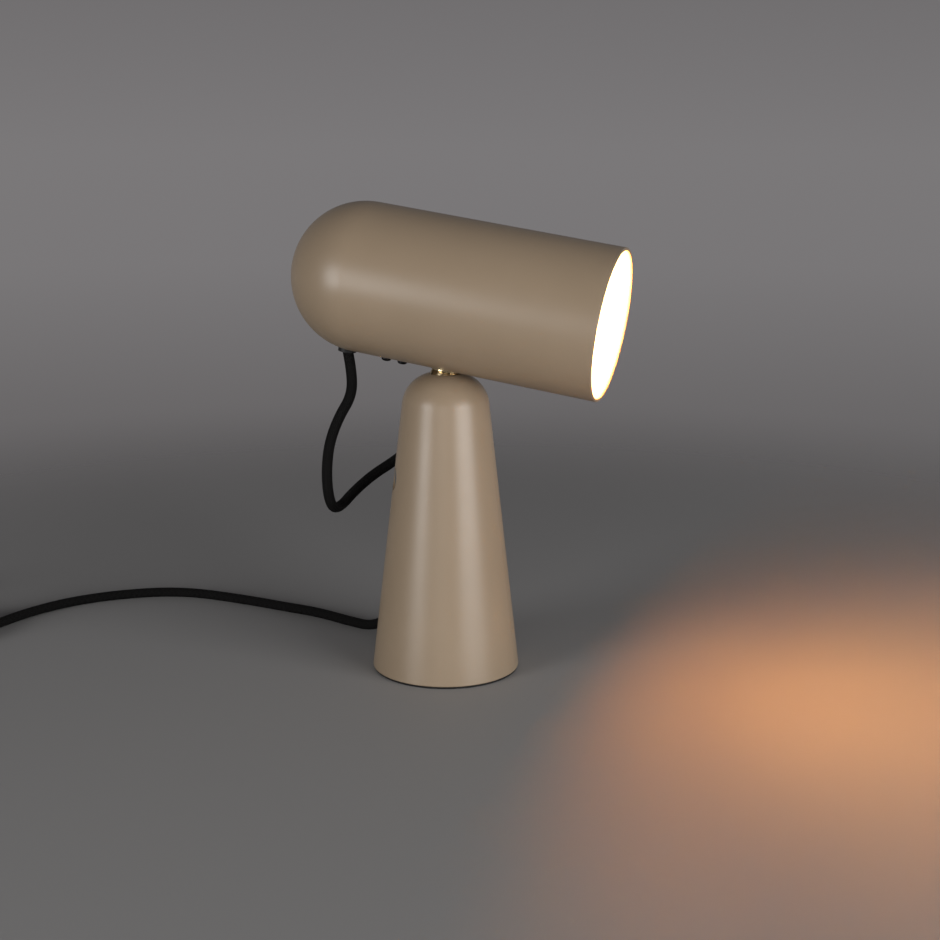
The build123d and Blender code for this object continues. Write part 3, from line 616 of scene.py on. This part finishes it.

# %% [markdown]
# ## The braid
#
# The cords wear a braid of black yarn. Two sets of yarns wind round the cord,
# one to the left and one to the right, and pass over and under each other like
# a basket. On the tube's UV map a yarn is a slanted stripe, so the sum and the
# difference of the two coordinates count the yarns of either set. Each stripe
# is round, which gives its height, and a chessboard of the two counts says
# which set lies on top. Fine waves along the yarns are their filaments. The
# same height also paints the colour darker towards each yarn's edges: painted
# shade in the grooves between the yarns.

# %% Weave the black braid
yarns, filaments, yarn_depth, filament_share = 12, 4.0, 0.0005, 0.25
yarn_shaded_groove, yarn_lit_top = (0.0015, 0.0014, 0.0014), (0.0075, 0.0070, 0.0068)


def yarn_height(count):
    """A round ridge over each yarn, from 0 at its edges to 1 at its middle."""
    from_middle = abs(count % 1.0 - 0.5) * 2
    return 1 - from_middle * from_middle


braid, braid_shader, braid_place = new_finish("black_braid")
map_place = braid_place.node("ShaderNodeUVMap", {"uv_map": "UVMap"})
along_cord = map_place.node("ShaderNodeSeparateXYZ", {}, {0: map_place}, 0)
round_cord = map_place.node("ShaderNodeSeparateXYZ", {}, {0: map_place}, 1)
left_count = (round_cord + along_cord) * yarns
right_count = (round_cord - along_cord) * yarns
which_on_top = (left_count.sum("FLOOR", left_count) + right_count.sum("FLOOR", right_count)) % 2.0
left_over = yarn_height(left_count) * which_on_top
right_over = yarn_height(right_count) * (1 - which_on_top)
ridge = left_over + right_over
along_left = abs((right_count * filaments) % 1.0 - 0.5) * which_on_top
along_right = abs((left_count * filaments) % 1.0 - 0.5) * (1 - which_on_top)
fuzz = clouds(braid_place, 0.0006, 2)
# The colour follows the yarn height too: painted shade, darker in the grooves between yarns and
# lighter on their tops.
feed(braid_shader, {
    "Base Color": mixed(ridge * (0.5 + 0.5 * fuzz), yarn_shaded_groove, yarn_lit_top),
    "Roughness": 0.60 + 0.25 * fuzz, "Specular IOR Level": 0.10,
    "Normal": bumped(ridge + (along_left + along_right) * filament_share, yarn_depth, 0.8),
})
print("braid of", yarns, "yarns each way, in", len(braid.node_tree.nodes), "nodes")

# %% [markdown]
# ## Brass
#
# The swivel ball and the saddle washer are turned brass, polished and
# lacquered. Polished metal is a mirror with faint flaws: very fine turning
# marks and a slightly uneven warm tint where hands have touched it.

# %% Polished brass
brass_dark, brass_light = (0.47, 0.36, 0.20), (0.62, 0.50, 0.32)
brass, brass_shader, brass_place = new_finish("polished_brass")
brass_stain = clouds(brass_place, 0.006, 4)
turning = clouds(brass_place, 0.0016, 1, stretch=(0.15, 0.15, 6))
feed(brass_shader, {
    "Base Color": mixed(brass_stain, brass_dark, brass_light),
    "Metallic": 1.0, "Roughness": 0.12 + 0.12 * brass_stain,
    "Normal": bumped(turning, 0.00003, 0.25),
})
print("brass of", len(brass.node_tree.nodes), "nodes")

# %% [markdown]
# ## Steels, zinc and iron
#
# The other metals differ in three things: their colour, how smooth they are,
# and the marks of the tool that made them. So one function takes these and
# wires each finish in the same way. Bright zinc plate has cloudy patches,
# ground steel fine scratches, cast iron a coarse skin.

# %% One recipe for plain metals
def plain_metal(name, dark, light, rough, rough_change, grain, stretch=(1, 1, 1), depth=0.00003):
    """A metal whose colour and roughness drift, with tool marks of a given size."""
    finish, shader, place = new_finish(name)
    patches = clouds(place, 0.009, 4)
    marks = clouds(place, grain, 2, stretch)
    feed(shader, {
        "Base Color": mixed(patches, dark, light), "Metallic": 1.0,
        "Roughness": rough + rough_change * patches,
        "Normal": bumped(marks, depth, 0.5),
    })
    return finish


zinc = plain_metal("bright_zinc", (0.52, 0.53, 0.55), (0.68, 0.69, 0.72),
                   rough=0.22, rough_change=0.25, grain=0.0015)
ground_steel = plain_metal("ground_steel", (0.50, 0.50, 0.51), (0.62, 0.62, 0.63),
                           rough=0.16, rough_change=0.14, grain=0.0008, stretch=(1, 1, 8))
turned_aluminium = plain_metal("turned_aluminium", (0.70, 0.70, 0.71), (0.80, 0.80, 0.81),
                               rough=0.24, rough_change=0.12, grain=0.0016, stretch=(0.1, 0.1, 5))
cap_nickel = plain_metal("cap_nickel", (0.60, 0.57, 0.51), (0.72, 0.69, 0.62),
                         rough=0.20, rough_change=0.15, grain=0.001)
cast_iron = plain_metal("cast_iron", (0.055, 0.054, 0.055), (0.10, 0.095, 0.09),
                        rough=0.55, rough_change=0.25, grain=0.0012, depth=0.0004)
black_steel = plain_metal("blackened_steel", (0.012, 0.012, 0.013), (0.030, 0.030, 0.032),
                          rough=0.28, rough_change=0.18, grain=0.0007)
print("six metals from one recipe")

# %% [markdown]
# ## Mouldings, rubber and ceramic
#
# Moulded plastic copies the fine spark-eroded skin of its mould, rubber is
# duller and picks up dust, and the ceramic has a glaze. They share a recipe
# too: a base colour that drifts a little, a roughness, and a grain.

# %% One recipe for moulded parts
def moulding(name, dark, light, rough, grain, depth, shine=0.5, coat=0.0):
    """A plastic, rubber or ceramic part with a fine grain."""
    finish, shader, place = new_finish(name)
    patches = clouds(place, 0.007, 3)
    feed(shader, {
        "Base Color": mixed(patches, dark, light),
        "Roughness": rough + 0.15 * patches, "Specular IOR Level": shine,
        "Coat Weight": coat, "Coat Roughness": 0.08,
        "Normal": bumped(clouds(place, grain, 2), depth, 0.5),
    })
    return finish


black_plastic = moulding("black_moulding", (0.005, 0.005, 0.005), (0.011, 0.011, 0.011),
                         rough=0.42, grain=0.0005, depth=0.00004, shine=0.25)
button_grey = moulding("grey_button", (0.115, 0.110, 0.102), (0.150, 0.143, 0.133),
                       rough=0.34, grain=0.0005, depth=0.00003)
foot_rubber = moulding("foot_rubber", (0.006, 0.0055, 0.005), (0.016, 0.015, 0.014),
                       rough=0.65, grain=0.0007, depth=0.00008, shine=0.2)
ceramic = moulding("glazed_ceramic", (0.70, 0.67, 0.60), (0.80, 0.77, 0.71),
                   rough=0.30, grain=0.002, depth=0.00003, coat=0.6)
wire_sleeve = moulding("wire_sleeve", (0.30, 0.29, 0.27), (0.40, 0.39, 0.37),
                       rough=0.42, grain=0.0006, depth=0.00002)
print("five mouldings from one recipe")

# %% [markdown]
# ## The lit bulb
#
# The bulb's glass is opal, so all of it glows, in the deep warm white of a
# dimmed filament. The glow is an emission on the main shader. Its strength is
# one number, and only its colour drifts a little, in soft clouds, because opal
# glass is never quite even.

# %% Opal glass with the lamp switched on
glow_deep, glow_bright, glow_strength = (1.0, 0.46, 0.13), (1.0, 0.50, 0.16), 150.0
opal_glow, glow_shader, glow_place = new_finish("lit_opal_glass")
feed(glow_shader, {
    "Base Color": (0.85, 0.82, 0.75, 1), "Roughness": 0.35,
    "Emission Color": mixed(clouds(glow_place, 0.02), glow_deep, glow_bright),
    "Emission Strength": glow_strength,
})
print("opal glass glows with strength", glow_strength)

# %% [markdown]
# ## Put the finishes on
#
# Every part has a finish by name. A finish takes the whole part, so the old
# material is cleared first.

# %% Which part wears what
finishes = {
    stem_coat: ["stem_shell"],
    shade_coat: ["shade_skin"],
    braid: ["lead_upper", "lead_lower", "mains"],
    brass: ["swivel_ball", "saddle_washer"],
    zinc: ["base_plate", "base_screws", "bracket_nuts", "ball_screws", "saddle_plate",
           "holder_bracket", "holder_nipple", "nipple_nut", "spring_washer", "swivel_nut",
           "centre_tube", "switch_nut"],
    ground_steel: ["swivel_tongue", "disc_springs", "hinge_pin"],
    turned_aluminium: ["bearing_housing"],
    cast_iron: ["ballast_weight"],
    cap_nickel: ["bulb_cap", "bulb_contact", "plug_pins"],
    black_steel: ["cross_head_screws"],
    black_plastic: ["lead_bush", "lead_bush_nut", "mains_bush", "mains_bush_nut", "shade_bush",
                    "shade_bush_nut", "switch_housing", "holder_cap", "holder_skirt", "plug_body",
                    "cord_tie"],
    button_grey: ["switch_button"],
    foot_rubber: ["foot_pad"],
    ceramic: ["holder_insert", "terminal_block"],
    wire_sleeve: ["inner_wires", "head_wires"],
    opal_glow: ["bulb_glass"],
}
for finish, names in finishes.items():
    for name in names:
        piece = bpy.data.objects[name]
        piece.data.materials.clear()
        piece.data.materials.append(finish)
print(sum(len(names) for names in finishes.values()), "parts finished")

# %% [markdown]
# ## The floor
#
# The lamp stands on a plain grey floor without an edge. A sheet of paper that
# curves up behind it would hide the lamp from the back, so the floor is a flat
# disc that fades out far from the lamp, and the world's colour behind it takes
# over.

# %% A round floor that fades away
floor_grey, floor_radius = (0.378, 0.370, 0.368), 4.0
fade_start, fade_end = 0.40, 1.1


def round_floor(radius):
    """A flat disc of faces, marked as a stage."""
    grid = bmesh.new()
    bmesh.ops.create_circle(grid, cap_ends=True, segments=64, radius=radius)
    mesh = bpy.data.meshes.new("floor")
    grid.to_mesh(mesh)
    grid.free()
    disc = bpy.data.objects.new("floor", mesh)
    collection.objects.link(disc)
    return disc


floor = round_floor(floor_radius)
paper, paper_shader, paper_place = new_finish("grey_floor")
feed(paper_shader, {"Base Color": (*floor_grey, 1), "Roughness": 0.6, "Specular IOR Level": 0.32})
far_away = vector_sum(paper_place, "LENGTH", {0: paper_place}, 1)
fade = far_away.node("ShaderNodeMapRange", {"interpolation_type": "SMOOTHSTEP"},
                     {"Value": far_away, "From Min": fade_start, "From Max": fade_end})
clear = fade.node("ShaderNodeBsdfTransparent")
lit = Varying(paper.node_tree, paper_shader.outputs[0])
seen = fade.node("ShaderNodeMixShader", {}, {0: fade, 1: lit, 2: clear})
feed(paper.node_tree.nodes["Material Output"], {"Surface": seen})
floor.data.materials.append(paper)
print("floor with a radius of", floor_radius, "m, clear", fade_end, "m from the lamp")

# %% [markdown]
# ## The world behind it
#
# The world has two jobs. To the camera, and to anything that mirrors it, it is
# the paper behind the lamp, a soft grey with painted shade: darker low down,
# brightest just below the horizon and a little darker above it, where less
# light falls on the paper. To everything else it is a weak, even light that
# lifts the shadows, and below the horizon it is as bright as the floor, which
# goes on where the disc has faded. A brighter band low behind the lamp lights
# its back, so that it isn't black from there.

# %% A grey world
world = bpy.data.worlds.new("grey_room")
bpy.context.scene.world = world
world.use_nodes = True
room = Varying(world.node_tree)
direction = room.node("ShaderNodeTexCoord", output="Generated")
rise = room.node("ShaderNodeSeparateXYZ", {}, {0: direction}, 2)
# Painted shade on the backdrop: the grey is darker low down and a little darker above the horizon
# than just below it.
painted_shade_greys = [
    (0.34, (0.108, 0.103, 0.104, 1)), (0.385, (0.119, 0.113, 0.115, 1)),
    (0.412, (0.145, 0.138, 0.140, 1)), (0.452, (0.190, 0.182, 0.185, 1)),
    (0.487, (0.196, 0.188, 0.191, 1)), (0.54, (0.160, 0.153, 0.156, 1)),
]
paper_painted_shade = room.node("ShaderNodeValToRGB", {"stops": painted_shade_greys}, {0: rise * 0.5 + 0.5})
seen_directly = room.node("ShaderNodeLightPath", output="Is Camera Ray")
mirrored = room.node("ShaderNodeLightPath", output="Is Glossy Ray")
through_glass = room.node("ShaderNodeLightPath", output="Is Transmission Ray")
indirectly = mirrored.sum("MAXIMUM", mirrored, through_glass)
shows = seen_directly.sum("MAXIMUM", seen_directly, indirectly)

behind_from, band_top = 0.35, 0.45  # of a direction that is one unit long
sky_grey, band_grey = (0.042, 0.042, 0.044), (0.20, 0.196, 0.193)
ground_grey = (0.125, 0.121, 0.119)
backward = room.node("ShaderNodeSeparateXYZ", {}, {0: direction}, 1)
low_behind = (behind_from - backward < 0.0) * (rise < band_top)
open_sky = mixed(low_behind, sky_grey, band_grey)
even_light = mixed(rise < 0.0, open_sky, ground_grey)
feed(world.node_tree.nodes["Background"], {"Color": mixed(shows, even_light, paper_painted_shade)})
print("world of", len(world.node_tree.nodes), "nodes")

# %% [markdown]
# ## Softboxes
#
# Two large softboxes stand a little higher than the lamp, one to either side of
# the camera. Each draws a long soft highlight down the cone of the stem. A small
# hard lamp would leave a spot and a sharp shadow instead. A weak third one
# between them fills the middle and draws the highlight along the shade.

# %% Three softboxes
lamp_middle = Vector((0, 0, 0.18))


def softbox(name, place, wide, tall, watts):
    """A large area light that faces the middle of the lamp."""
    light = bpy.data.lights.new(name, "AREA")
    light.shape, light.size, light.size_y, light.energy = "RECTANGLE", wide, tall, watts
    box = bpy.data.objects.new(name, light)
    box.location = place
    box.rotation_euler = (lamp_middle - Vector(place)).to_track_quat("-Z", "Y").to_euler()
    box.visible_camera = False
    collection.objects.link(box)
    print(name, "of", watts, "W")


softbox("left_softbox", (-1.23, -2.04, 0.42), wide=0.95, tall=1.03, watts=28)
softbox("right_softbox", (2.17, -1.05, 0.42), wide=1.75, tall=1.03, watts=51)
softbox("middle_softbox", (0.45, -2.40, 0.42), wide=1.2, tall=0.8, watts=6.5)

# %% [markdown]
# ## The lamp's own pool of light
#
# The glowing glass lights the inside of the shade by itself, but little of that
# light finds its way out again through a few bounces. A round light across the
# mouth stands for the light that the white inside throws forward. It faces
# out, the camera doesn't see it, and it rides on the shade, so the warm pool
# on the table follows the lamp wherever it turns.

# %% A round light across the mouth
pool_width, pool_watts, pool_colour = 0.094, 1.25, (1.0, 0.31, 0.03)
mouth_reach = 0.170  # from the dome's centre to just inside the lip
pool_light = bpy.data.lights.new("mouth_light", "AREA")
pool_light.shape, pool_light.size, pool_light.energy = "DISK", pool_width, pool_watts
pool_light.color = pool_colour
mouth_light = bpy.data.objects.new("mouth_light", pool_light)
mouth_light.location = dome_centre + shade_way * mouth_reach
mouth_light.rotation_euler = shade_way.to_track_quat("-Z", "Y").to_euler()
mouth_light.visible_camera = False
collection.objects.link(mouth_light)
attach(mouth_light, "head")
print("light across the mouth at", [round(value, 3) for value in mouth_light.location])
